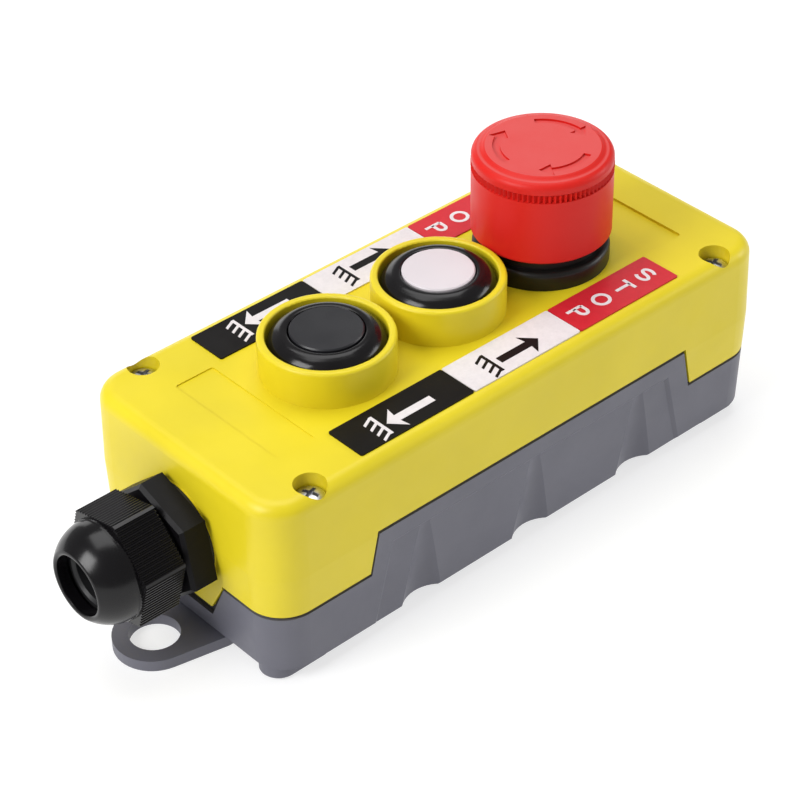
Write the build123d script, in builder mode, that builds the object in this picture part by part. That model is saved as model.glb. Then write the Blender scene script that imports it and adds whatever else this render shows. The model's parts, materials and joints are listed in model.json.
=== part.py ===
"""Pendant control station: two push buttons and a twist-release stop button.

Millimetres, +Z up out of the front cover, +X away from the cable gland.
The origin of the saved parts is under the middle of the overall box, on the plane of the feet.
Heights in this file are LIFT less, and save() adds it.
"""
from build123d import *
import math
import os

os.makedirs("parts", exist_ok=True)

# Housing
LIFT = 1.0
BODY_X0 = -66.5
BODY_X1 = 96.0
BODY_HALF_W = 35.0
BODY_CORNER = 10.0
SHELL_BOTTOM = 2.0
SPLIT_HIGH = 30.5
SPLIT_LOW = 18.7
COVER_TOP = 51.5
WALL = 2.7
TOP_WALL = 2.5
UP_TAPER = 1.2
DOWN_TAPER = 2.2
INNER_TAPER = 4.6
FLOOR_TOP = 4.7
GAP = 0.9
TONGUE_TOP_HALF = 14.9
TONGUE_BOTTOM_HALF = 9.5
TONGUE_BOTTOM = 7.6
TONGUE_CLEARANCE = 2.5
STEP_NEAR_GLAND = (-37.6, -35.4)
STEP_NEAR_STOP = (69.5, 66.7)
BODY_MID_X = (BODY_X0 + BODY_X1) / 2
BODY_LEN = BODY_X1 - BODY_X0
PANEL_DEPTH = 0.6
PANEL_SLOPE = 60.0
FLUTES = ((-20.7, -21.3), (15.4, 15.0), (51.2, 51.4))
FOOT_XS = (-55.25, 84.75)
FOOT_Y = 26.5
LUG_X = -76.0
LUG_HOLE_R = 6.2

# Stations
LOWER_X = -20.0
RAISE_X = 15.5
STOP_X = 50.2
COLLAR_R = 16.56
COLLAR_BORE = 14.6
COLLAR_TOP = 61.4
PANEL_HOLE_R = 11.2
BUSH_R = 11.15
STATIONS = (LOWER_X, RAISE_X, STOP_X)
BUTTONS = (LOWER_X, RAISE_X)
STEM_R = 3.9
STEM_HOLE_R = 3.98
PIN_R = 1.85

# Gland
GLAND_Z = 28.3
THREAD_R = 11.25
SEAL_BORE_R = 6.5
DOME_HOLE_R = 7.7

# Screws
SCREW_XS = (-51.5, 81.1)
SCREW_Y = 30.3
SCREW_FLOOR = 46.6
SCREW_RECESS_R = 3.95
PLATE_TOP = 21.0
PLATE_BOTTOM = 19.8
PLATE_SCREWS = ((-2.0, 11.0), (-2.0, -11.0), (33.0, 11.0), (33.0, -11.0))


def tapered_body(inset, low, high, down_taper):
    """Rounded body inset from the outside, drafted both ways from the parting plane."""
    size_x = BODY_LEN - 2 * inset
    size_y = 2 * (BODY_HALF_W - inset)
    with BuildPart() as body:
        with BuildSketch(Plane.XY.offset(SPLIT_HIGH)) as outline:
            with Locations((BODY_MID_X, 0)):
                RectangleRounded(size_x, size_y, BODY_CORNER - inset)
        extrude(amount=high - SPLIT_HIGH, taper=UP_TAPER)
        extrude(outline.sketch, amount=low - SPLIT_HIGH, taper=down_taper)
    return body.part


def split_tool(rise):
    """Everything that belongs to the rear shell, raised by the gap for the cover."""
    high = SPLIT_HIGH + rise
    low = SPLIT_LOW + rise
    shift = rise / 2
    tongue_low = TONGUE_BOTTOM + TONGUE_CLEARANCE * rise / GAP
    with BuildPart() as tool:
        with BuildSketch(Plane.XZ):
            with BuildLine():
                Polyline(
                    (-120, -20),
                    (120, -20),
                    (120, low),
                    (STEP_NEAR_STOP[0] + shift, low),
                    (STEP_NEAR_STOP[1] + shift, high),
                    (STEP_NEAR_GLAND[1] - shift, high),
                    (STEP_NEAR_GLAND[0] - shift, low),
                    (-120, low),
                    close=True,
                )
            make_face()
        extrude(amount=60, both=True)
        with BuildSketch(Plane.YZ.offset(-80)):
            with BuildLine():
                Polyline(
                    (-TONGUE_BOTTOM_HALF, tongue_low),
                    (TONGUE_BOTTOM_HALF, tongue_low),
                    (TONGUE_TOP_HALF - shift, SPLIT_LOW),
                    (TONGUE_TOP_HALF - shift, 45),
                    (-TONGUE_TOP_HALF + shift, 45),
                    (-TONGUE_TOP_HALF + shift, SPLIT_LOW),
                    close=True,
                )
            make_face()
        extrude(amount=26, mode=Mode.SUBTRACT)
    return tool.part


with BuildPart() as envelope:
    add(tapered_body(0, SHELL_BOTTOM, COVER_TOP, DOWN_TAPER))
    fillet(envelope.edges().group_by(Axis.Z)[-1], radius=3.6)
    chamfer(envelope.edges().group_by(Axis.Z)[0], length=1.0)
outer = envelope.part
inner = tapered_body(WALL, FLOOR_TOP, COVER_TOP - TOP_WALL, INNER_TAPER)
shell = outer - inner
rear_tool = split_tool(0)
gap_tool = split_tool(GAP)


def arrow(tail, span, mid_r, width, head_span):
    """Clockwise curved arrow as an outline, tail and span in degrees."""
    start = math.radians(tail)
    neck = math.radians(tail - span + head_span)
    tip = math.radians(tail - span)
    steps = 12
    sweep_angles = [start + (neck - start) * i / steps for i in range(steps + 1)]
    points = [polar(mid_r + width / 2, a) for a in sweep_angles]
    points.append(polar(mid_r + width * 1.35, neck))
    points.append(polar(mid_r, tip))
    points.append(polar(mid_r - width * 1.35, neck))
    points += [polar(mid_r - width / 2, a) for a in reversed(sweep_angles)]
    return points


def polar(radius, angle):
    return (radius * math.cos(angle), radius * math.sin(angle))


def toothed_ring(radius, depth, count):
    """Outline with fine V teeth all the way round."""
    radii = (radius, radius - depth)
    return [polar(radii[i % 2], math.pi * i / count) for i in range(2 * count)]


def ribbed_hexagon(vertex_r, first_deg, ribs, depth):
    """Hexagon outline with fine ribs along each flat."""
    apothem = vertex_r * math.cos(math.pi / 6)
    reach = vertex_r / 2 * 0.94
    steps = ribs * 4
    points = []
    for k in range(6):
        mid = math.radians(first_deg + 30 + 60 * k)
        for i in range(steps + 1):
            along = reach * (2 * i / steps - 1)
            out = apothem - (depth if i % 4 in (1, 2) else 0)
            x = out * math.cos(mid) - along * math.sin(mid)
            y = out * math.sin(mid) + along * math.cos(mid)
            points.append((x, y))
    return points


def cross_recess(x, y, top, size, depth):
    """Cross-shaped driver recess, as a cutter."""
    with BuildPart() as cutter:
        with BuildSketch(Plane.XY.offset(top)):
            with Locations((x, y)):
                Rectangle(size, size * 0.24, rotation=20)
                Rectangle(size * 0.24, size, rotation=20)
        extrude(amount=-depth, taper=8)
    return cutter.part


def coil(x, low, high, coil_r, wire_r, turns):
    """Compression spring standing on Z."""
    height = high - low - 2 * wire_r
    with BuildPart() as spring:
        with BuildLine() as path:
            Helix(pitch=height / turns, height=height, radius=coil_r, center=(x, 0, low + wire_r))
        with BuildSketch(Plane(origin=path.line @ 0, z_dir=path.line % 0)):
            Circle(wire_r)
        sweep(is_frenet=True)
    return spring.part


def save(part, name):
    """Write one node, raised so that the feet stand on Z = 0."""
    lifted = part.moved(Location((0, 0, LIFT)))
    lifted.label = name
    export_step(lifted, "parts/" + name + ".step")


# Front cover: shell, bosses, collars
with BuildPart() as cover_bosses:
    for sx in SCREW_XS:
        for sy in (-SCREW_Y, SCREW_Y):
            with Locations((sx, sy, SPLIT_LOW + GAP)):
                Cylinder(4.3, 44.0 - SPLIT_LOW, align=(Align.CENTER, Align.CENTER, Align.MIN))
            with Locations((sx, sy, 42.6)):
                Cylinder(6.2, 7.4, align=(Align.CENTER, Align.CENTER, Align.MIN))
clipped_bosses = cover_bosses.part & outer

with BuildPart() as front_cover:
    add(shell)
    add(clipped_bosses)
    add(gap_tool, mode=Mode.SUBTRACT)
    with Locations((-66.6, 0, GLAND_Z)):
        Cylinder(13.4, 2.8, rotation=(0, 90, 0), align=(Align.CENTER, Align.CENTER, Align.MIN))
    with BuildSketch(Plane.XY.offset(COVER_TOP - 1)):
        with Locations((LOWER_X, 0), (RAISE_X, 0)):
            Circle(COLLAR_R)
    extrude(amount=COLLAR_TOP - COVER_TOP + 1)
    rims = front_cover.edges().filter_by(GeomType.CIRCLE).group_by(Axis.Z)[-1]
    fillet(rims, radius=0.8)
    with BuildSketch(Plane.XY.offset(COVER_TOP)):
        with Locations((LOWER_X, 0), (RAISE_X, 0)):
            Circle(COLLAR_BORE)
    extrude(amount=20, mode=Mode.SUBTRACT)
    with BuildSketch(Plane.XY.offset(40)):
        with Locations((LOWER_X, 0), (RAISE_X, 0), (STOP_X, 0)):
            Circle(PANEL_HOLE_R)
    extrude(amount=30, mode=Mode.SUBTRACT)
    bores = front_cover.edges().filter_by(GeomType.CIRCLE).group_by(Axis.Z)[-1]
    fillet(bores, radius=0.5)
    with BuildSketch(Plane.XY.offset(COVER_TOP - 0.35)):
        with Locations((-45.5, 0)):
            RectangleRounded(11.2, 37.2, 0.8)
    extrude(amount=2, mode=Mode.SUBTRACT)
    with BuildSketch(Plane.XY.offset(COVER_TOP - 0.7)):
        with Locations((75.55, 0)):
            RectangleRounded(11.9, 37.2, 0.8)
    extrude(amount=2, mode=Mode.SUBTRACT)
    with BuildSketch(Plane.XY.offset(SCREW_FLOOR)):
        with Locations(*[(sx, sy) for sx in SCREW_XS for sy in (-SCREW_Y, SCREW_Y)]):
            Circle(SCREW_RECESS_R)
    extrude(amount=8, mode=Mode.SUBTRACT)
    with BuildSketch(Plane.XY.offset(15)):
        with Locations(*[(sx, sy) for sx in SCREW_XS for sy in (-SCREW_Y, SCREW_Y)]):
            Circle(2.2)
    extrude(amount=36, mode=Mode.SUBTRACT)
    with Locations((-70, 0, GLAND_Z)):
        Cylinder(11.4, 14, rotation=(0, 90, 0), align=(Align.CENTER, Align.CENTER, Align.MIN),
                 mode=Mode.SUBTRACT)
    with Locations((-63.8, 0, GLAND_Z)):
        Cylinder(16.0, 6, rotation=(0, 90, 0), align=(Align.CENTER, Align.CENTER, Align.MIN),
                 mode=Mode.SUBTRACT)
save(front_cover.part, "front_cover")

# Rear shell: panels, finger flutes, feet, hanging eye
with BuildPart() as rear_bosses:
    for sx in SCREW_XS:
        for sy in (-SCREW_Y, SCREW_Y):
            with Locations((sx, sy, 4)):
                Cylinder(4.8, SPLIT_LOW - 4, align=(Align.CENTER, Align.CENTER, Align.MIN))
    for px, py in PLATE_SCREWS:
        with Locations((px, py, 4)):
            Cylinder(3.6, PLATE_BOTTOM - 4, align=(Align.CENTER, Align.CENTER, Align.MIN))
rear_solid_bosses = rear_bosses.part & outer

DRAFT = math.radians(DOWN_TAPER)
SIDE_WALL = Plane(
    origin=(0, -BODY_HALF_W, SPLIT_HIGH),
    x_dir=(1, 0, 0),
    z_dir=(0, -math.cos(DRAFT), -math.sin(DRAFT)),
)
with BuildPart() as panel_cut:
    with BuildSketch(SIDE_WALL.offset(0.05)):
        with BuildLine():
            Polyline((-38.1, -34.5), (69.6, -34.5), (61.5, -4.7), (-31.5, -4.4), close=True)
        make_face()
    extrude(amount=-PANEL_DEPTH - 0.05, taper=PANEL_SLOPE)
    mirror(about=Plane.XZ)

with BuildPart() as flutes:
    for top_x, bottom_x in FLUTES:
        for side in (-1, 1):
            with BuildSketch(Plane.XY.offset(25.6)):
                with Locations((top_x, side * 37.87)):
                    Circle(3.9)
            with BuildSketch(Plane.XY.offset(1)):
                with Locations((bottom_x, side * 40.3)):
                    Circle(9.56)
            loft()

with BuildPart() as rear_shell:
    add(shell & rear_tool)
    add(rear_solid_bosses)
    add(panel_cut.part, mode=Mode.SUBTRACT)
    add(flutes.part, mode=Mode.SUBTRACT)
    with BuildSketch(Plane.XY.offset(-LIFT)):
        for fx in FOOT_XS:
            with Locations((fx, -FOOT_Y), (fx, FOOT_Y)):
                SlotCenterToCenter(9.5, 9.6)
    extrude(amount=4 + LIFT)
    chamfer(rear_shell.edges().group_by(Axis.Z)[0], length=0.7)
    with BuildSketch(Plane.XY.offset(-LIFT)) as eye:
        with Locations((LUG_X, 0)):
            Circle(10.2)
        with Locations((-62, 0)):
            Rectangle(4, 26)
        make_hull()
    extrude(amount=3.0)
    with Locations((-62, 0, -LIFT)):
        Box(4, 26, 4 + LIFT, align=(Align.CENTER, Align.CENTER, Align.MIN))
    with BuildSketch(Plane.XY.offset(-LIFT)):
        with Locations((LUG_X, 0)):
            Circle(LUG_HOLE_R)
    extrude(amount=4, mode=Mode.SUBTRACT)
    with BuildSketch(Plane.XY.offset(11.8)):
        with Locations(*[(sx, sy) for sx in SCREW_XS for sy in (-SCREW_Y, SCREW_Y)]):
            Circle(3.0)
    extrude(amount=12, mode=Mode.SUBTRACT)
    with BuildSketch(Plane.XY.offset(8)):
        with Locations(*[(sx, sy) for sx in SCREW_XS for sy in (-SCREW_Y, SCREW_Y)]):
            Circle(2.3)
        with Locations(*PLATE_SCREWS):
            Circle(1.5)
    extrude(amount=14, mode=Mode.SUBTRACT)
save(rear_shell.part, "rear_shell")

# Seal in the parting gap, set back from the outside
seal_band = tapered_body(0.9, SHELL_BOTTOM, COVER_TOP, DOWN_TAPER) - inner
with BuildPart() as cover_gasket:
    add(seal_band & (gap_tool - rear_tool))
    with Locations(*[(sx, sy, 15) for sx in SCREW_XS for sy in (-SCREW_Y, SCREW_Y)]):
        Cylinder(2.3, 10, align=(Align.CENTER, Align.CENTER, Align.MIN), mode=Mode.SUBTRACT)
save(cover_gasket.part, "cover_gasket")

# Cover screws and inserts
with BuildPart() as cover_screws:
    for sx in SCREW_XS:
        for sy in (-SCREW_Y, SCREW_Y):
            with BuildSketch(Plane.XZ.offset(-sy)):
                with BuildLine():
                    Polyline((sx, 10.5), (sx + 1.2, 10.5), (sx + 1.95, 11.6), (sx + 1.95, SCREW_FLOOR),
                             (sx + 3.6, SCREW_FLOOR), (sx + 3.6, 48.0))
                    ThreePointArc((sx + 3.6, 48.0), (sx + 2.2, 48.75), (sx, 49.0))
                    Line((sx, 49.0), (sx, 10.5))
                make_face()
            revolve(axis=Axis((sx, sy, 0), (0, 0, 1)))
            add(cross_recess(sx, sy, 49.2, 4.3, 1.7), mode=Mode.SUBTRACT)
save(cover_screws.part, "cover_screws")

with BuildPart() as screw_inserts:
    with BuildSketch(Plane.XY.offset(11.8)):
        with Locations(*[(sx, sy) for sx in SCREW_XS for sy in (-SCREW_Y, SCREW_Y)]):
            Circle(3.0)
            Circle(1.95, mode=Mode.SUBTRACT)
    extrude(amount=SPLIT_LOW - 11.8)
save(screw_inserts.part, "screw_inserts")

# Legend plates beside each station
for name, x_low, x_high in (
    ("legend_lower", -36.7, -1.8),
    ("legend_raise", -1.6, 33.1),
    ("legend_stop", 33.3, 67.1),
):
    with BuildPart() as legend:
        with BuildSketch(Plane.XY.offset(COVER_TOP)):
            with Locations(((x_low + x_high) / 2, -25.15), ((x_low + x_high) / 2, 25.15)):
                RectangleRounded(x_high - x_low, 11.7, 0.5)
        extrude(amount=0.4)
    save(legend.part, name)

# Cable gland, axis along X
GLAND_AXIS = Axis((0, 0, GLAND_Z), (1, 0, 0))
with BuildPart() as gland_washer:
    with BuildSketch(Plane.YZ.offset(-67.6)):
        with Locations((0, GLAND_Z)):
            Circle(13.2)
            Circle(THREAD_R, mode=Mode.SUBTRACT)
    extrude(amount=1.0)
save(gland_washer.part, "gland_washer")

with BuildPart() as gland_body:
    with BuildSketch(Plane.YZ.offset(-67.6)):
        with Locations((0, GLAND_Z)):
            RegularPolygon(radius=16.0, side_count=6, rotation=78.6)
    extrude(amount=-7.0)
    chamfer(gland_body.faces().sort_by(Axis.X)[0].edges(), length=0.9)
    with BuildSketch(Plane.XZ):
        with BuildLine():
            Polyline((-88.0, GLAND_Z), (-88.0, GLAND_Z + 11.0), (-87.4, GLAND_Z + 11.6),
                     (-70.0, GLAND_Z + 11.6), (-70.0, GLAND_Z + THREAD_R),
                     (-56.8, GLAND_Z + THREAD_R), (-56.0, GLAND_Z + 10.4), (-56.0, GLAND_Z),
                     close=True)
        make_face()
    revolve(axis=GLAND_AXIS)
    with Locations((-90, 0, GLAND_Z)):
        Cylinder(8.6, 40, rotation=(0, 90, 0), align=(Align.CENTER, Align.CENTER, Align.MIN),
                 mode=Mode.SUBTRACT)
save(gland_body.part, "gland_body")

with BuildPart() as gland_locknut:
    with BuildSketch(Plane.YZ.offset(-63.8)):
        with Locations((0, GLAND_Z)):
            RegularPolygon(radius=15.5, side_count=6, rotation=30)
    extrude(amount=4.0)
    chamfer(gland_locknut.faces().sort_by(Axis.X)[-1].edges(), length=0.6)
    with Locations((-65, 0, GLAND_Z)):
        Cylinder(THREAD_R, 10, rotation=(0, 90, 0), align=(Align.CENTER, Align.CENTER, Align.MIN),
                 mode=Mode.SUBTRACT)
save(gland_locknut.part, "gland_locknut")

with BuildPart() as gland_dome_nut:
    with BuildSketch(Plane.XZ):
        with BuildLine():
            Polyline((-75.8, GLAND_Z + 11.75), (-75.8, GLAND_Z + 12.9),
                     (-87.6, GLAND_Z + 12.9), (-88.0, GLAND_Z + 12.75))
            ThreePointArc((-88.0, GLAND_Z + 12.75), (-93.2, GLAND_Z + 11.1), (-95.75, GLAND_Z + 9.0))
            ThreePointArc((-95.75, GLAND_Z + 9.0), (-96.0, GLAND_Z + 8.4),
                          (-95.7, GLAND_Z + DOME_HOLE_R))
            Polyline((-95.7, GLAND_Z + DOME_HOLE_R), (-92.8, GLAND_Z + DOME_HOLE_R),
                     (-92.2, GLAND_Z + 9.1), (-88.8, GLAND_Z + 11.75), (-75.8, GLAND_Z + 11.75))
        make_face()
    revolve(axis=GLAND_AXIS)
    with BuildSketch(Plane.YZ.offset(-75.8)):
        with Locations((0, GLAND_Z)):
            Polygon(*ribbed_hexagon(15.35, 46, 14, 0.4), align=None)
            Circle(12.5, mode=Mode.SUBTRACT)
    extrude(amount=-11.2)
save(gland_dome_nut.part, "gland_dome_nut")

with BuildPart() as gland_seal:
    with BuildSketch(Plane.XZ):
        with BuildLine():
            Polyline((-92.0, GLAND_Z + 7.2), (-92.0, GLAND_Z + 9.0), (-88.9, GLAND_Z + 11.4),
                     (-88.0, GLAND_Z + 11.4), (-88.0, GLAND_Z + 8.6), (-79.0, GLAND_Z + 8.6),
                     (-79.0, GLAND_Z + SEAL_BORE_R), (-91.3, GLAND_Z + SEAL_BORE_R), close=True)
        make_face()
    revolve(axis=GLAND_AXIS)
save(gland_seal.part, "gland_seal")

# Push button guides and their nuts
with BuildPart() as button_bushings:
    for bx in BUTTONS:
        with BuildSketch(Plane.XZ):
            with BuildLine():
                Polyline((bx + 8.1, 43.6), (bx + 10.7, 43.6), (bx + BUSH_R, 44.1),
                         (bx + BUSH_R, COVER_TOP), (bx + 12.5, COVER_TOP), (bx + 12.5, 52.9),
                         (bx + 12.2, 53.2), (bx + 8.1, 53.2), close=True)
            make_face()
        revolve(axis=Axis((bx, 0, 0), (0, 0, 1)))
save(button_bushings.part, "button_bushings")

with BuildPart() as panel_nuts:
    with BuildSketch(Plane.XY.offset(45)):
        with Locations(*[(sx, 0) for sx in STATIONS]):
            RegularPolygon(radius=15.0, side_count=6)
            Circle(BUSH_R, mode=Mode.SUBTRACT)
    extrude(amount=4.0)
    chamfer(panel_nuts.edges().filter_by(GeomType.LINE).group_by(Axis.Z)[0], length=0.5)
save(panel_nuts.part, "panel_nuts")

# Push button moving pieces, boots and springs
for name, bx in (("lower", LOWER_X), ("raise", RAISE_X)):
    own_axis = Axis((bx, 0, 0), (0, 0, 1))
    with BuildPart() as boot:
        with BuildSketch(Plane.XZ):
            with BuildLine():
                Line((bx + 12.7, COVER_TOP), (bx + 14.4, COVER_TOP))
                Line((bx + 14.4, COVER_TOP), (bx + 14.4, 57.6))
                ThreePointArc((bx + 14.4, 57.6), (bx + 13.6, 60.2), (bx + 11.6, 62.0))
                ThreePointArc((bx + 11.6, 62.0), (bx + 10.4, 62.45), (bx + 9.35, 62.35))
                Polyline((bx + 9.35, 62.35), (bx + 9.2, 62.2), (bx + 9.2, 60.2))
                ThreePointArc((bx + 9.2, 60.2), (bx + 11.8, 59.6), (bx + 12.7, 57.6))
                Line((bx + 12.7, 57.6), (bx + 12.7, COVER_TOP))
            make_face()
        revolve(axis=own_axis)
    save(boot.part, name + "_boot")

    with BuildPart() as plunger:
        with BuildSketch(Plane.XZ):
            with BuildLine():
                Polyline((bx, 31.0), (bx + 1.4, 31.0), (bx + PIN_R, 31.5), (bx + PIN_R, 35.6),
                         (bx + STEM_R, 35.6), (bx + STEM_R, 46.0), (bx + 8.04, 46.0),
                         (bx + 8.04, 57.6), (bx + 10.2, 58.7), (bx + 10.2, 59.6),
                         (bx, 59.6), close=True)
            make_face()
        revolve(axis=own_axis)
    save(plunger.part, name + "_plunger")

    with BuildPart() as cap:
        with BuildSketch(Plane.XZ):
            with BuildLine():
                Polyline((bx, 59.6), (bx + 8.9, 59.6), (bx + 8.9, 62.45), (bx + 8.6, 62.75),
                         (bx, 62.75), close=True)
            make_face()
        revolve(axis=own_axis)
    save(cap.part, name + "_cap")

    with BuildPart() as bridge:
        with BuildSketch(Plane.XY.offset(34.8)):
            with Locations((bx, 0)):
                RectangleRounded(4.4, 16.4, 1.0)
                Circle(PIN_R, mode=Mode.SUBTRACT)
        extrude(amount=0.8)
        with Locations((bx, -6.3, 34.45), (bx, 6.3, 34.45)):
            Cylinder(1.3, 0.7, align=(Align.CENTER, Align.CENTER, Align.MIN))
    save(bridge.part, name + "_bridge")

    save(coil(bx, 24.0, 34.7, 2.8, 0.35, 6), name + "_spring")

# Stop button
STOP_AXIS = Axis((STOP_X, 0, 0), (0, 0, 1))
with BuildPart() as estop_base:
    with BuildSketch(Plane.XZ):
        with BuildLine():
            Polyline((STOP_X + BUSH_R, COVER_TOP), (STOP_X + 17.2, COVER_TOP), (STOP_X + 17.2, 55.0))
            ThreePointArc((STOP_X + 17.2, 55.0), (STOP_X + 16.85, 55.95), (STOP_X + 15.8, 56.4))
            Polyline((STOP_X + 15.8, 56.4), (STOP_X + 14.9, 56.4), (STOP_X + 14.9, 60.2),
                     (STOP_X + BUSH_R, 60.2), (STOP_X + BUSH_R, COVER_TOP))
        make_face()
    revolve(axis=STOP_AXIS)
save(estop_base.part, "estop_base")

with BuildPart() as estop_barrel:
    with BuildSketch(Plane.XZ):
        with BuildLine():
            Polyline((STOP_X + 5.06, 43.6), (STOP_X + 10.7, 43.6), (STOP_X + BUSH_R, 44.1),
                     (STOP_X + BUSH_R, 60.2), (STOP_X + 13.8, 60.2), (STOP_X + 13.8, 61.4),
                     (STOP_X + 5.06, 61.4), close=True)
        make_face()
    revolve(axis=STOP_AXIS)
save(estop_barrel.part, "estop_barrel")

with BuildPart() as estop_spindle:
    with BuildSketch(Plane.XZ):
        with BuildLine():
            Polyline((STOP_X, 28.5), (STOP_X + 1.4, 28.5), (STOP_X + PIN_R, 29.0),
                     (STOP_X + PIN_R, 31.8), (STOP_X + STEM_R, 31.8), (STOP_X + STEM_R, 46.0),
                     (STOP_X + 5.0, 46.0), (STOP_X + 5.0, 65.7), (STOP_X + 4.0, 65.7),
                     (STOP_X + 4.0, 76.4), (STOP_X + 3.4, 77.0), (STOP_X, 77.0), close=True)
        make_face()
    revolve(axis=STOP_AXIS)
save(estop_spindle.part, "estop_spindle")

with BuildPart() as estop_head:
    with BuildSketch(Plane.XZ):
        with BuildLine():
            Polyline((STOP_X, 79.5), (STOP_X + 15.5, 79.5), (STOP_X + 15.5, 61.0),
                     (STOP_X + 16.5, 59.55), (STOP_X + 17.1, 59.55), (STOP_X + 17.55, 60.05),
                     (STOP_X + 17.55, 77.0), (STOP_X + 16.7, 77.3), (STOP_X + 16.7, 79.1),
                     (STOP_X + 17.5, 79.3), (STOP_X + 17.5, 80.6))
            ThreePointArc((STOP_X + 17.5, 80.6), (STOP_X + 17.0, 81.6), (STOP_X + 15.9, 82.15))
            ThreePointArc((STOP_X + 15.9, 82.15), (STOP_X + 15.2, 82.3), (STOP_X + 14.6, 82.65))
            Polyline((STOP_X + 14.6, 82.65), (STOP_X + 14.2, 82.8), (STOP_X, 82.8), (STOP_X, 79.5))
        make_face()
    revolve(axis=STOP_AXIS)
    with BuildSketch(Plane.XY.offset(77.2)):
        with Locations((STOP_X, 0)):
            Polygon(*toothed_ring(17.6, 0.9, 84), align=None)
            Circle(16.2, mode=Mode.SUBTRACT)
    extrude(amount=1.95)
    with BuildSketch(Plane.XY.offset(66.0)):
        with Locations((STOP_X, 0)):
            Circle(8.0)
    extrude(amount=14.0)
    with BuildSketch(Plane.XY.offset(65.0)):
        with Locations((STOP_X, 0)):
            Circle(4.06)
    extrude(amount=12.4, mode=Mode.SUBTRACT)
    with BuildSketch(Plane.XY.offset(82.25)):
        for tail in (176, 56, -64):
            with Locations((STOP_X, 0)):
                Polygon(*arrow(tail, 76, 11.4, 1.9, 17), align=None)
    extrude(amount=1.0, mode=Mode.SUBTRACT)
save(estop_head.part, "estop_head")

with BuildPart() as estop_bridge:
    with BuildSketch(Plane.XY.offset(31.0)):
        with Locations((STOP_X, 0)):
            RectangleRounded(4.4, 16.4, 1.0)
            Circle(PIN_R, mode=Mode.SUBTRACT)
    extrude(amount=0.8)
    with Locations((STOP_X, -6.3, 31.8), (STOP_X, 6.3, 31.8)):
        Cylinder(1.3, 0.7, align=(Align.CENTER, Align.CENTER, Align.MIN))
save(estop_bridge.part, "estop_bridge")
save(coil(STOP_X, 24.0, 30.9, 2.8, 0.3, 4), "estop_spring")

# Mounting plate and its screws
with BuildPart() as mounting_plate:
    with BuildSketch(Plane.XY.offset(PLATE_BOTTOM)):
        with Locations((16.0, 0)):
            RectangleRounded(100, 30, 3)
        with Locations(*PLATE_SCREWS):
            Circle(1.7, mode=Mode.SUBTRACT)
        with Locations(*[(sx + dx, 0) for sx in STATIONS for dx in (-8, 8)]):
            Circle(1.6, mode=Mode.SUBTRACT)
    extrude(amount=PLATE_TOP - PLATE_BOTTOM)
save(mounting_plate.part, "mounting_plate")

with BuildPart() as plate_screws:
    for px, py in PLATE_SCREWS:
        with BuildSketch(Plane.XZ.offset(-py)):
            with BuildLine():
                Polyline((px, 11.0), (px + 1.0, 11.0), (px + 1.5, 12.0), (px + 1.5, PLATE_TOP),
                         (px + 2.9, PLATE_TOP), (px + 2.9, 22.3), (px + 2.4, 22.9), (px, 22.9),
                         close=True)
            make_face()
        revolve(axis=Axis((px, py, 0), (0, 0, 1)))
        add(cross_recess(px, py, 23.0, 3.4, 1.3), mode=Mode.SUBTRACT)
save(plate_screws.part, "plate_screws")


def contact_block(bx, shelf, slot_low):
    """Switch block: tower with a bridge cavity, terminal shelves either side."""
    bottom = (Align.CENTER, Align.CENTER, Align.MIN)
    with BuildPart() as block:
        with Locations((bx, 0, PLATE_TOP)):
            Box(22, 31, shelf - PLATE_TOP, align=bottom)
            Box(22, 21, 19.5, align=bottom)
        chamfer(block.edges().group_by(Axis.Z)[-1], length=0.6)
        with Locations((bx, 0, 24)):
            Box(15, 17, 14, align=bottom, mode=Mode.SUBTRACT)
        with Locations((bx, 0, 37)):
            Cylinder(STEM_HOLE_R, 6, align=bottom, mode=Mode.SUBTRACT)
        with Locations((bx, 0, slot_low)):
            Box(4.8, 24, 0.8, align=bottom, mode=Mode.SUBTRACT)
        with Locations((bx, -12.9, shelf - 4), (bx, 12.9, shelf - 4)):
            Cylinder(1.4, 6, align=bottom, mode=Mode.SUBTRACT)
        with Locations((bx - 8, 0, PLATE_BOTTOM), (bx + 8, 0, PLATE_BOTTOM)):
            Cylinder(1.5, 2, align=bottom)
    return block.part


def contact_strip(bx, low, rivet_low):
    """Fixed contacts of one block, left and right."""
    with BuildPart() as strip:
        with BuildSketch(Plane.XY.offset(low)):
            with Locations((bx, -9.8), (bx, 9.8)):
                Rectangle(4.8, 10.0)
            with Locations((bx, -12.9), (bx, 12.9)):
                Circle(1.4, mode=Mode.SUBTRACT)
        extrude(amount=0.8)
        with Locations((bx, -6.3, rivet_low), (bx, 6.3, rivet_low)):
            Cylinder(1.3, 0.9, align=(Align.CENTER, Align.CENTER, Align.MIN))
    return strip.part


def terminal_pair(bx, seat):
    """Two slotted terminal screws standing on the contact strips."""
    with BuildPart() as pair:
        with Locations((bx, -12.9, seat), (bx, 12.9, seat)):
            Cylinder(2.1, 1.7, align=(Align.CENTER, Align.CENTER, Align.MIN))
        with Locations((bx, -12.9, seat - 4.5), (bx, 12.9, seat - 4.5)):
            Cylinder(1.4, 5, align=(Align.CENTER, Align.CENTER, Align.MIN))
        with Locations((bx, -12.9, seat + 1.0), (bx, 12.9, seat + 1.0)):
            Box(6, 0.6, 2, rotation=(0, 0, 30), align=(Align.CENTER, Align.CENTER, Align.MIN),
                mode=Mode.SUBTRACT)
    return pair.part


BUTTON_SHELF = 29.0
STOP_SHELF = 33.2
with BuildPart() as button_blocks:
    for bx in BUTTONS:
        add(contact_block(bx, BUTTON_SHELF, BUTTON_SHELF))
save(button_blocks.part, "button_blocks")
save(contact_block(STOP_X, STOP_SHELF, STOP_SHELF), "stop_block")

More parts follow.
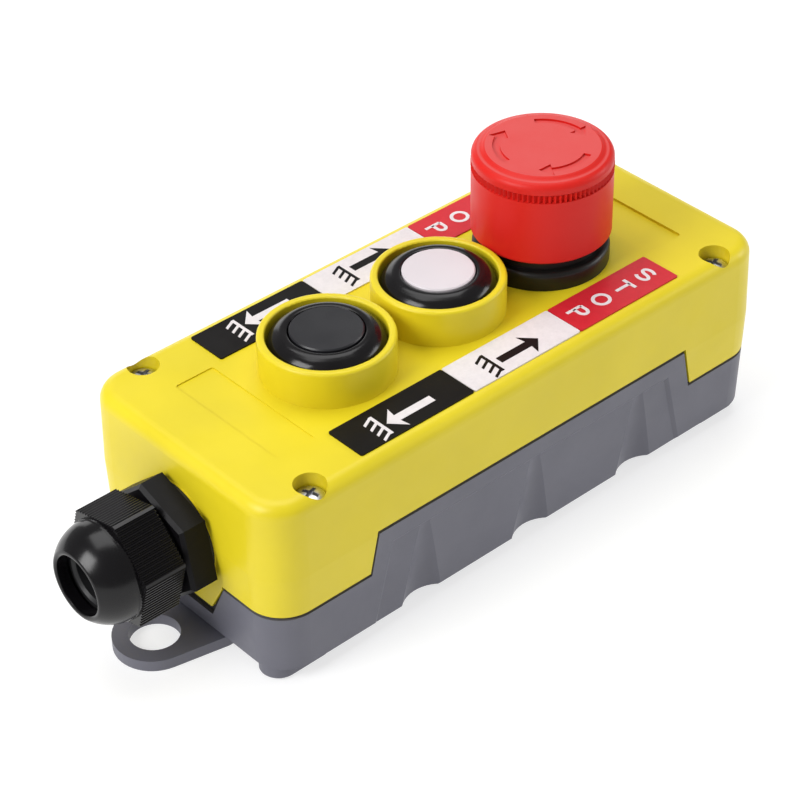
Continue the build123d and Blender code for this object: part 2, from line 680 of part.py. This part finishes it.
with BuildPart() as contact_strips:
    for bx in BUTTONS:
        add(contact_strip(bx, BUTTON_SHELF, BUTTON_SHELF + 0.4))
    add(contact_strip(STOP_X, STOP_SHELF, STOP_SHELF - 0.5))
save(contact_strips.part, "contact_strips")

with BuildPart() as terminal_screws:
    for bx in BUTTONS:
        add(terminal_pair(bx, BUTTON_SHELF + 0.8))
    add(terminal_pair(STOP_X, STOP_SHELF + 0.8))
save(terminal_screws.part, "terminal_screws")
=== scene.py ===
"""Looks of the pendant control station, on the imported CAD. Metres, in the CAD's own frame.

The CAD nodes get their materials here. The printed signs, the two rubber boots and copies of the
springs are added. Sizes marked MM are written in millimetres.
"""
import json
import math

import bmesh
import bpy
from mathutils import Matrix, Vector


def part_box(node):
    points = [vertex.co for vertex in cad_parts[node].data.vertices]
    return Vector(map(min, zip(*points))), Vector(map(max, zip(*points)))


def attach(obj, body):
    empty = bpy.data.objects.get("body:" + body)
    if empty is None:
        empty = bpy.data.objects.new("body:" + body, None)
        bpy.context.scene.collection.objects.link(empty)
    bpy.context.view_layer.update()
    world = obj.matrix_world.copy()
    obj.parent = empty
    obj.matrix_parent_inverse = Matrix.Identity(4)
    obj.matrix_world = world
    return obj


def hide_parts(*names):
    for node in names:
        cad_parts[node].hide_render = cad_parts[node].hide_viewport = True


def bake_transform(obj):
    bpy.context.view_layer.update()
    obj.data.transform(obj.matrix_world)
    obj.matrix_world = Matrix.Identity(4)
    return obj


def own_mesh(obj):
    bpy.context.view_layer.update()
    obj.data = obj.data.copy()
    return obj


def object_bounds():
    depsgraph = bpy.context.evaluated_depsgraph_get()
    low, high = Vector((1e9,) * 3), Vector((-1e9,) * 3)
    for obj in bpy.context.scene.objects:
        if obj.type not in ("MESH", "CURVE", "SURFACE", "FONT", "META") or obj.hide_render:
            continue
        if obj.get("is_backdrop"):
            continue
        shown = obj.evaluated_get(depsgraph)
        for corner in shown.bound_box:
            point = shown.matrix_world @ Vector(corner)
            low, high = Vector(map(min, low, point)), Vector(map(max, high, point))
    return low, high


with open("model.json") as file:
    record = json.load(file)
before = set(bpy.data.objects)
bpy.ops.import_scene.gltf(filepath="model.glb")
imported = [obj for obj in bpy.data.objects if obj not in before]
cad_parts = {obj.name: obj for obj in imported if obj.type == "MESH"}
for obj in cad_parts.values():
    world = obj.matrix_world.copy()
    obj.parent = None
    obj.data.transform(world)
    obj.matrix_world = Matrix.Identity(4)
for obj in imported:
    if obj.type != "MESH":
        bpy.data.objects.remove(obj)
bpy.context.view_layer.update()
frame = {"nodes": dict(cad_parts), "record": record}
NODES = frame["nodes"]
MM = 0.001

# ------------------------------------------------------------------ camera
AZIMUTH = math.radians(-41.48)
ELEVATION = math.radians(37.28)
ROLL = math.radians(-1.01)
CAMERA_AT = Vector((-0.32883, -0.37472, 0.41166))
LENS_MM = 115.35
SENSOR_MM = 36.0


def camera_axes():
    """Right, up and backward directions of the camera."""
    ca, sa = math.cos(AZIMUTH), math.sin(AZIMUTH)
    ce, se = math.cos(ELEVATION), math.sin(ELEVATION)
    back = Vector((sa * ce, -ca * ce, se))
    level = Vector((ca, sa, 0))
    rise = back.cross(level)
    right = math.cos(ROLL) * level + math.sin(ROLL) * rise
    up = -math.sin(ROLL) * level + math.cos(ROLL) * rise
    return right, up, back


right, up, back = camera_axes()
cam_data = bpy.data.cameras.new("camera")
cam_data.sensor_width = SENSOR_MM
cam_data.lens = LENS_MM
cam_data.clip_start = 0.01
cam_data.clip_end = 20.0
camera = bpy.data.objects.new("camera", cam_data)
bpy.context.scene.collection.objects.link(camera)
turn = Matrix((right, up, back)).transposed().to_4x4()
camera.matrix_world = Matrix.Translation(CAMERA_AT) @ turn
bpy.context.scene.camera = camera
bpy.context.scene.view_settings.view_transform = "Standard"
bpy.context.scene.view_settings.look = "None"


# --------------------------------------------------------------- materials
def new_material(name, rough, specular=0.5, metallic=0.0):
    mat = bpy.data.materials.new(name)
    mat.use_nodes = True
    shader = mat.node_tree.nodes["Principled BSDF"]
    shader.inputs["Roughness"].default_value = rough
    shader.inputs["Specular IOR Level"].default_value = specular
    shader.inputs["Metallic"].default_value = metallic
    return mat, mat.node_tree, shader


def coords(tree):
    return tree.nodes.new("ShaderNodeTexCoord").outputs["Object"]


def noise(tree, vector, scale, detail=3.0, rough=0.5):
    node = tree.nodes.new("ShaderNodeTexNoise")
    node.inputs["Scale"].default_value = scale
    node.inputs["Detail"].default_value = detail
    node.inputs["Roughness"].default_value = rough
    tree.links.new(vector, node.inputs["Vector"])
    return node.outputs["Fac"]


def ramp(tree, fac, stops):
    """Colour that follows fac through (place, colour) stops."""
    node = tree.nodes.new("ShaderNodeValToRGB")
    elements = node.color_ramp.elements
    while len(elements) < len(stops):
        elements.new(0.5)
    for element, (place, colour) in zip(elements, stops):
        element.position = place
        element.color = (*colour, 1)
    tree.links.new(fac, node.inputs["Fac"])
    return node.outputs["Color"]


def spread(tree, fac, low, high):
    """The middle of a noise's range stretched to run from low to high."""
    node = tree.nodes.new("ShaderNodeMapRange")
    node.inputs["From Min"].default_value = 0.3
    node.inputs["From Max"].default_value = 0.7
    node.inputs["To Min"].default_value = low
    node.inputs["To Max"].default_value = high
    tree.links.new(fac, node.inputs["Value"])
    return node.outputs["Result"]


def bumped(tree, shader, height, strength, distance, under=None):
    node = tree.nodes.new("ShaderNodeBump")
    node.inputs["Strength"].default_value = strength
    node.inputs["Distance"].default_value = distance
    tree.links.new(height, node.inputs["Height"])
    if under is not None:
        tree.links.new(under, node.inputs["Normal"])
    tree.links.new(node.outputs["Normal"], shader.inputs["Normal"])
    return node.outputs["Normal"]


def tone(colour, factor):
    return tuple(min(1.0, c * factor) for c in colour)


def moulded(name, colour, rough=(0.3, 0.42), specular=0.5, mottle=0.06, grain=900.0,
            grain_height=0.012 * MM):
    """Injection-moulded plastic: faint flow mottling, slow waviness and fine spark grain."""
    mat, tree, shader = new_material(name, sum(rough) / 2, specular)
    vector = coords(tree)
    cloud = noise(tree, vector, 38.0, 4.0, 0.55)
    tree.links.new(
        ramp(tree, cloud, [(0.32, tone(colour, 1 - mottle)), (0.68, tone(colour, 1 + mottle))]),
        shader.inputs["Base Color"],
    )
    smudge = noise(tree, vector, 95.0, 3.0, 0.6)
    tree.links.new(spread(tree, smudge, *rough), shader.inputs["Roughness"])
    waves = bumped(tree, shader, noise(tree, vector, 60.0, 2.0, 0.5), 0.25, 0.03 * MM)
    bumped(tree, shader, noise(tree, vector, grain, 2.0, 0.6), 0.35, grain_height, waves)
    return mat


def rubber(name, colour, rough=(0.38, 0.55), specular=0.4):
    """Black rubber with a little dust in its colour."""
    mat, tree, shader = new_material(name, 0.45, specular)
    vector = coords(tree)
    dust = noise(tree, vector, 160.0, 5.0, 0.65)
    tree.links.new(
        ramp(tree, dust, [(0.35, colour), (0.75, tone(colour, 1.9))]), shader.inputs["Base Color"]
    )
    tree.links.new(spread(tree, noise(tree, vector, 70.0), *rough), shader.inputs["Roughness"])
    bumped(tree, shader, noise(tree, vector, 1400.0, 2.0, 0.6), 0.4, 0.01 * MM)
    return mat


def metal(name, dark, light):
    """Bare or plated metal, dulled in patches."""
    mat, tree, shader = new_material(name, 0.3, metallic=1.0)
    vector = coords(tree)
    patches = noise(tree, vector, 400.0, 4.0, 0.6)
    tree.links.new(ramp(tree, patches, [(0.3, dark), (0.7, light)]), shader.inputs["Base Color"])
    tree.links.new(spread(tree, noise(tree, vector, 160.0), 0.22, 0.38), shader.inputs["Roughness"])
    bumped(tree, shader, patches, 0.2, 0.02 * MM)
    return mat


def printed(name, colour, specular=0.35):
    """Screen-printed film: near-flat ink with a faint speckle and satin gloss."""
    mat, tree, shader = new_material(name, 0.34, specular)
    vector = coords(tree)
    speck = noise(tree, vector, 520.0, 3.0, 0.7)
    tree.links.new(
        ramp(tree, speck, [(0.25, tone(colour, 0.93)), (0.7, tone(colour, 1.05))]),
        shader.inputs["Base Color"],
    )
    tree.links.new(spread(tree, noise(tree, vector, 130.0), 0.29, 0.41), shader.inputs["Roughness"])
    bumped(tree, shader, speck, 0.15, 0.006 * MM)
    return mat


def painted_top_sheen(mat, colour, pale):
    """Paint the level faces of a moulding a paler colour: a painted sheen of the overhead light."""
    tree = mat.node_tree
    shader = tree.nodes["Principled BSDF"]
    facing = tree.nodes.new("ShaderNodeNewGeometry")
    split = tree.nodes.new("ShaderNodeSeparateXYZ")
    tree.links.new(facing.outputs["True Normal"], split.inputs["Vector"])
    level = tree.nodes.new("ShaderNodeMapRange")
    level.inputs["From Min"].default_value = 0.95
    level.inputs["From Max"].default_value = 0.99
    tree.links.new(split.outputs["Z"], level.inputs["Value"])
    patchy = spread(tree, noise(tree, coords(tree), 120.0, 4.0, 0.6), 0.8, 1.0)
    amount = tree.nodes.new("ShaderNodeMath")
    amount.operation = "MULTIPLY"
    tree.links.new(level.outputs["Result"], amount.inputs[0])
    tree.links.new(patchy, amount.inputs[1])
    mix = tree.nodes.new("ShaderNodeMix")
    mix.data_type = "RGBA"
    mix.inputs["A"].default_value = (*colour, 1)
    mix.inputs["B"].default_value = (*pale, 1)
    tree.links.new(amount.outputs["Value"], mix.inputs["Factor"])
    tree.links.new(mix.outputs["Result"], shader.inputs["Base Color"])
    return mat


RED = (0.66, 0.016, 0.011)
# paler red painted on the head's level faces as a painted sheen of the overhead light
SHEEN_RED = (0.67, 0.082, 0.078)
NYLON_BLACK = (0.004, 0.0036, 0.0044)
MATERIALS = {
    "yellow_cover": moulded("yellow_abs", (0.74, 0.60, 0.015), (0.32, 0.44), 0.4, mottle=0.035),
    "grey_shell": moulded("grey_abs", (0.126, 0.126, 0.156), (0.40, 0.54), mottle=0.05,
                          grain=700.0, grain_height=0.02 * MM),
    "gasket_rubber": rubber("gasket_rubber", (0.012, 0.012, 0.012)),
    "plated_steel": metal("plated_steel", (0.42, 0.43, 0.45), (0.72, 0.72, 0.74)),
    "brass": metal("brass", (0.60, 0.43, 0.18), (0.83, 0.66, 0.34)),
    "legend_black": printed("legend_black", (0.008, 0.007, 0.007), specular=0.12),
    "legend_white": printed("legend_white", (0.74, 0.70, 0.715)),
    "legend_red": printed("legend_red", (0.58, 0.018, 0.03)),
    "gland_nylon": moulded("gland_nylon", NYLON_BLACK, (0.16, 0.24), 0.34, mottle=0.15,
                           grain=1200.0, grain_height=0.006 * MM),
    "flange_nylon": moulded("flange_nylon", NYLON_BLACK, (0.34, 0.44), 0.12, mottle=0.15),
    "seal_rubber": rubber("seal_rubber", (0.012, 0.012, 0.013)),
    "black_plastic": moulded("black_plastic", (0.010, 0.009, 0.008), (0.30, 0.42), 0.35, mottle=0.12),
    "boot_rubber": rubber("boot_rubber", (0.0045, 0.004, 0.0045), (0.15, 0.24), 0.32),
    "button_black": moulded("button_black", (0.014, 0.014, 0.017), (0.28, 0.4), 0.45, mottle=0.1),
    "button_white": moulded("button_white", (0.68, 0.63, 0.655), (0.28, 0.38), 0.4, mottle=0.02),
    # the red head's level faces get a painted sheen, a paler red
    "red_head": painted_top_sheen(moulded("red_abs", RED, (0.36, 0.46), 0.22, mottle=0.05), RED, SHEEN_RED),
    "spring_steel": metal("spring_steel", (0.34, 0.35, 0.37), (0.6, 0.6, 0.62)),
    "block_plastic": moulded("block_plastic", (0.03, 0.03, 0.034), (0.4, 0.5)),
    "block_red": moulded("block_red", (0.45, 0.03, 0.025), (0.4, 0.5)),
}

slot_of = {row["node"]: row["material_slot"] for row in frame["record"]["subparts"]}
for node_name, node in NODES.items():
    node.data.materials.clear()
    node.data.materials.append(MATERIALS[slot_of[node_name]])
NODES["gland_body"].data.materials[0] = MATERIALS["flange_nylon"]


# ------------------------------------------------------------ mesh helpers
def piece_from(name, bm, slot, body, smooth_deg=None):
    """Turn a bmesh into a named piece that rides on a body, if one is given."""
    bmesh.ops.recalc_face_normals(bm, faces=bm.faces)
    mesh = bpy.data.meshes.new(name)
    bm.to_mesh(mesh)
    bm.free()
    obj = bpy.data.objects.new(name, mesh)
    bpy.context.scene.collection.objects.link(obj)
    mesh.materials.append(MATERIALS[slot])
    if smooth_deg:
        mesh.shade_smooth()
        mesh.set_sharp_from_angle(angle=math.radians(smooth_deg))
    if body:
        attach(obj, body)
    return obj


def plate(bm, outline, low, high):
    """A flat polygon with thickness."""
    bottom = [bm.verts.new((x, y, low)) for x, y in outline]
    top = [bm.verts.new((x, y, high)) for x, y in outline]
    bm.faces.new(bottom[::-1])
    bm.faces.new(top)
    count = len(outline)
    for i in range(count):
        j = (i + 1) % count
        bm.faces.new((bottom[i], bottom[j], top[j], top[i]))


def ring_band(bm, line, width, low, high, closed=False):
    """A stroke of constant width along a line of points, as a strip with thickness."""
    count = len(line)
    sides = []
    for i, (x, y) in enumerate(line):
        before = line[(i - 1) % count] if closed or i else line[i]
        after = line[(i + 1) % count] if closed or i < count - 1 else line[i]
        along = Vector((after[0] - before[0], after[1] - before[1])).normalized()
        across = Vector((-along.y, along.x)) * width / 2
        sides.append([
            bm.verts.new((x + s * across.x, y + s * across.y, z)) for z in (low, high) for s in (-1, 1)
        ])
    for i in range(count if closed else count - 1):
        a, b = sides[i], sides[(i + 1) % count]
        for p, q in ((0, 1), (1, 3), (3, 2), (2, 0)):
            bm.faces.new((a[p], a[q], b[q], b[p]))
    if not closed:
        for end in (sides[0], sides[-1]):
            bm.faces.new((end[0], end[1], end[3], end[2]))


def lathe(bm, centre, profile):
    """Closed profile of (radius, z) turned about a vertical line through centre."""
    steps = 128
    rows = []
    for k in range(steps):
        a = 2 * math.pi * k / steps
        rows.append([
            bm.verts.new((centre.x + r * math.cos(a), centre.y + r * math.sin(a), z)) for r, z in profile
        ])
    count = len(profile)
    for k in range(steps):
        one, two = rows[k], rows[(k + 1) % steps]
        for i in range(count):
            j = (i + 1) % count
            bm.faces.new((one[i], one[j], two[j], two[i]))


# ---------------------------------------------------------- printed legends
INK = 0.06 * MM  # thickness of the printing
STROKE = 0.92 * MM  # width of the letter strokes
LEGEND_ROW_Y = 25.2 * MM  # from the middle of the cover to the middle of each row of plates
ARROW_HEAD = 3.7 * MM
ARROW_NOTCH = 0.5 * MM
ARROW_HALF_SHAFT = 1.15 * MM
ARROW_HALF_HEAD = 3.9 * MM
MARK_HALF_LINE = 0.42 * MM
MARK_REACH = 4.0 * MM
TEETH = 4
TOOTH_FIRST, TOOTH_PITCH = 3.5, 2.3  # millimetres along the ground line
TOOTH_SLANT = 1.35 * MM
TOOTH_DEPTH = 3.1 * MM
MARK_X = -7.0 * MM  # ground line, from the middle of its plate
LOWER_ARROW = (8.5 * MM, -5.6 * MM)  # tail and tip, from the middle of the plate
RAISE_ARROW = (-5.1 * MM, 7.8 * MM)
FAR_LOWER_SLIP = 1.2 * MM  # the far sign is printed a little off
FIRST_LETTER, LETTER_PITCH = 11.4, 7.75  # millimetres along the plate
LINE_SHIFT = {-1: -0.55 * MM, 1: 0.35 * MM}  # across the plate, for the near and far row
ARROW_SHIFT = {-1: -1.0 * MM, 1: 1.1 * MM}


def legend_centre(node, side):
    """Middle of the plate of that node on one side of the cover, at its printed face."""
    low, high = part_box(node)
    return Vector(((low.x + high.x) / 2, side * LEGEND_ROW_Y, high.z))


def straight_arrow(bm, tail, tip, y, z):
    """Printed arrow along X from tail to tip."""
    sign = 1 if tip > tail else -1
    neck = tip - sign * ARROW_HEAD
    notch = neck + sign * ARROW_NOTCH
    outline = [(tail, y - ARROW_HALF_SHAFT), (notch, y - ARROW_HALF_SHAFT),
               (neck, y - ARROW_HALF_HEAD), (tip, y), (neck, y + ARROW_HALF_HEAD),
               (notch, y + ARROW_HALF_SHAFT), (tail, y + ARROW_HALF_SHAFT)]
    if sign < 0:
        outline.reverse()
    plate(bm, outline, z, z + INK)


def ground_mark(bm, x, y, z):
    """Ground line with slanted hatching on the gland side."""
    low_x, high_x = x - MARK_HALF_LINE, x + MARK_HALF_LINE
    plate(bm, [(low_x, y - MARK_REACH), (high_x, y - MARK_REACH), (high_x, y + MARK_REACH),
               (low_x, y + MARK_REACH)], z, z + INK)
    for k in range(TEETH):
        start = y + (TOOTH_FIRST - TOOTH_PITCH * k) * MM
        end = start - TOOTH_SLANT
        plate(bm, [(low_x, start + MARK_HALF_LINE), (x - TOOTH_DEPTH, end + MARK_HALF_LINE),
                   (x - TOOTH_DEPTH, end - MARK_HALF_LINE), (low_x, start - MARK_HALF_LINE)], z, z + INK)


def letter(bm, glyph, x, y, z):
    """One upright capital, its top towards +X and its left towards +Y, drawn in millimetres."""
    def place(u, v):
        return (x + v * MM, y - u * MM)

    def arc(cu, cv, ru, rv, start, end, steps=14):
        angles = [math.radians(start + (end - start) * i / steps) for i in range(steps + 1)]
        return [(cu + ru * math.cos(a), cv + rv * math.sin(a)) for a in angles]

    lines = {
        "S": [arc(0, 1.12, 1.72, 1.05, 25, 270) + arc(0, -1.08, 1.78, 1.12, 90, -155)[1:]],
        "T": [[(-2.15, 2.12), (2.15, 2.12)], [(0, 2.12), (0, -2.6)]],
        "P": [[(-1.55, -2.6), (-1.55, 2.12)],
              [(-1.55, 2.12), (0.3, 2.12)] + arc(0.35, 0.95, 1.35, 1.17, 80, -80) + [(-1.55, -0.22)]],
    }
    if glyph == "O":
        ring_band(bm, [place(u, v) for u, v in arc(0, 0, 2.05, 2.12, 0, 360, 40)[:-1]],
                  STROKE, z, z + INK, closed=True)
        return
    for line in lines[glyph]:
        ring_band(bm, [place(u, v) for u, v in line], STROKE, z, z + INK)


for name, node, slot in (("print_lower", "legend_lower", "legend_white"),
                         ("print_raise", "legend_raise", "legend_black"),
                         ("print_stop", "legend_stop", "legend_white")):
    bm = bmesh.new()
    for side in (-1, 1):
        at = legend_centre(node, side)
        line_y = at.y + LINE_SHIFT[side]
        arrow_y = at.y + ARROW_SHIFT[side]
        if node == "legend_lower":
            x = at.x + (FAR_LOWER_SLIP if side > 0 else 0)
            ground_mark(bm, x + MARK_X, line_y, at.z)
            straight_arrow(bm, x + LOWER_ARROW[0], x + LOWER_ARROW[1], arrow_y, at.z)
        elif node == "legend_raise":
            ground_mark(bm, at.x + MARK_X, line_y, at.z)
            straight_arrow(bm, at.x + RAISE_ARROW[0], at.x + RAISE_ARROW[1], arrow_y, at.z)
        else:
            for k, glyph in enumerate("STOP"):
                letter(bm, glyph, at.x + (FIRST_LETTER - LETTER_PITCH * k) * MM, at.y, at.z)
    piece_from(name, bm, slot, "enclosure")


def through(a, b, c, steps):
    """Points of the circular arc from a through b to c, without a itself."""
    (ax, ay), (bx, by), (cx, cy) = a, b, c
    d = 2 * (ax * (by - cy) + bx * (cy - ay) + cx * (ay - by))
    aa, bb, cc = ax * ax + ay * ay, bx * bx + by * by, cx * cx + cy * cy
    ux = (aa * (by - cy) + bb * (cy - ay) + cc * (ay - by)) / d
    uy = (aa * (cx - bx) + bb * (ax - cx) + cc * (bx - ax)) / d
    radius = math.hypot(ax - ux, ay - uy)
    start = math.atan2(ay - uy, ax - ux)
    middle = (math.atan2(by - uy, bx - ux) - start) % (2 * math.pi)
    end = (math.atan2(cy - uy, cx - ux) - start) % (2 * math.pi)
    if middle > end:
        end -= 2 * math.pi
    turns = [start + end * i / steps for i in range(1, steps + 1)]
    return [(ux + radius * math.cos(t), uy + radius * math.sin(t)) for t in turns]


def boot_profile(floor):
    """Closed (radius, z) outline of a domed boot that stands on floor, drawn in millimetres."""
    shape = [(12.75, 0.0), (14.35, 0.0), (14.4, 2.0), (14.4, 4.0), (14.4, 6.1)]
    shape += through((14.4, 6.1), (13.6, 8.7), (11.6, 10.5), 14)
    shape += through((11.6, 10.5), (10.4, 10.95), (9.45, 10.85), 8)
    shape += [(9.3, 10.75), (9.2, 10.6), (9.2, 8.75)]
    shape += through((9.2, 8.75), (11.8, 8.1), (12.7, 6.1), 10)
    shape += [(12.75, 4.5), (12.75, 2.0)]
    return [(r * MM, floor + h * MM) for r, h in shape]


for body, stem in (("lower_button", "lower"), ("raise_button", "raise")):
    low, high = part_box(stem + "_boot")
    centre = (low + high) / 2
    bm = bmesh.new()
    lathe(bm, centre, boot_profile(low.z))
    boot = piece_from(stem + "_boot_skin", bm, "boot_rubber", None, 50)
    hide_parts(stem + "_boot")
    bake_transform(boot)

for stem, joint, travel_mm in (("lower", "lower_press", 4.0), ("raise", "raise_press", 4.0),
                               ("estop", "estop_press", 3.0)):
    node = NODES[stem + "_spring"]
    low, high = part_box(stem + "_spring")
    spring = bpy.data.objects.new(stem + "_coil", node.data.copy())
    bpy.context.scene.collection.objects.link(spring)
    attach(spring, "enclosure")
    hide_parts(stem + "_spring")
    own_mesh(spring)

# ------------------------------------------------------------ floor, lights
FLOOR_HALF = 3.0
FLOOR_DROP = 0.1 * MM  # keeps the floor clear of the feet's own faces
WHITE = (1.0, 1.0, 1.0)

bm = bmesh.new()
bmesh.ops.create_grid(bm, x_segments=24, y_segments=24, size=FLOOR_HALF)
floor_mesh = bpy.data.meshes.new("floor")
bm.to_mesh(floor_mesh)
bm.free()
floor = bpy.data.objects.new("floor", floor_mesh)
floor.location.z = -FLOOR_DROP
bpy.context.scene.collection.objects.link(floor)
floor_mat, floor_tree, floor_shader = new_material("floor_paper", 0.8, 0.1)
floor_tree.links.new(
    ramp(floor_tree, noise(floor_tree, coords(floor_tree), 6.0),
         [(0.3, (0.40, 0.40, 0.405)), (0.7, (0.42, 0.42, 0.42))]),
    floor_shader.inputs["Base Color"],
)
floor_shader.inputs["Emission Color"].default_value = (*WHITE, 1)
floor_shader.inputs["Emission Strength"].default_value = 0.66
floor_mesh.materials.append(floor_mat)
floor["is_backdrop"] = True

world = bpy.data.worlds.new("studio")
bpy.context.scene.world = world
world.use_nodes = True
background = world.node_tree.nodes["Background"]
background.inputs["Color"].default_value = (*WHITE, 1)
background.inputs["Strength"].default_value = 0.30

LIGHT_AIM = Vector((0, 0, 0.03))  # the middle of the housing


def area_light(name, place, size, watts):
    """A rectangular soft box that points at the housing."""
    data = bpy.data.lights.new(name, "AREA")
    data.shape = "RECTANGLE"
    data.size, data.size_y = size
    data.energy = watts
    light = bpy.data.objects.new(name, data)
    bpy.context.scene.collection.objects.link(light)
    light.location = place
    light.rotation_mode = "QUATERNION"
    light.rotation_quaternion = (LIGHT_AIM - Vector(place)).to_track_quat("-Z", "Y")


area_light("key", (-0.9, 0.1, 0.7), (0.55, 0.55), 8.8)
area_light("top", (0.1, 0.25, 1.1), (1.0, 0.8), 7.2)
area_light("side", (1.12, -0.62, 0.45), (0.6, 0.5), 4.8)
area_light("backdrop", (1.0, 1.5, 0.36), (1.6, 0.8), 5.0)

low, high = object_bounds()
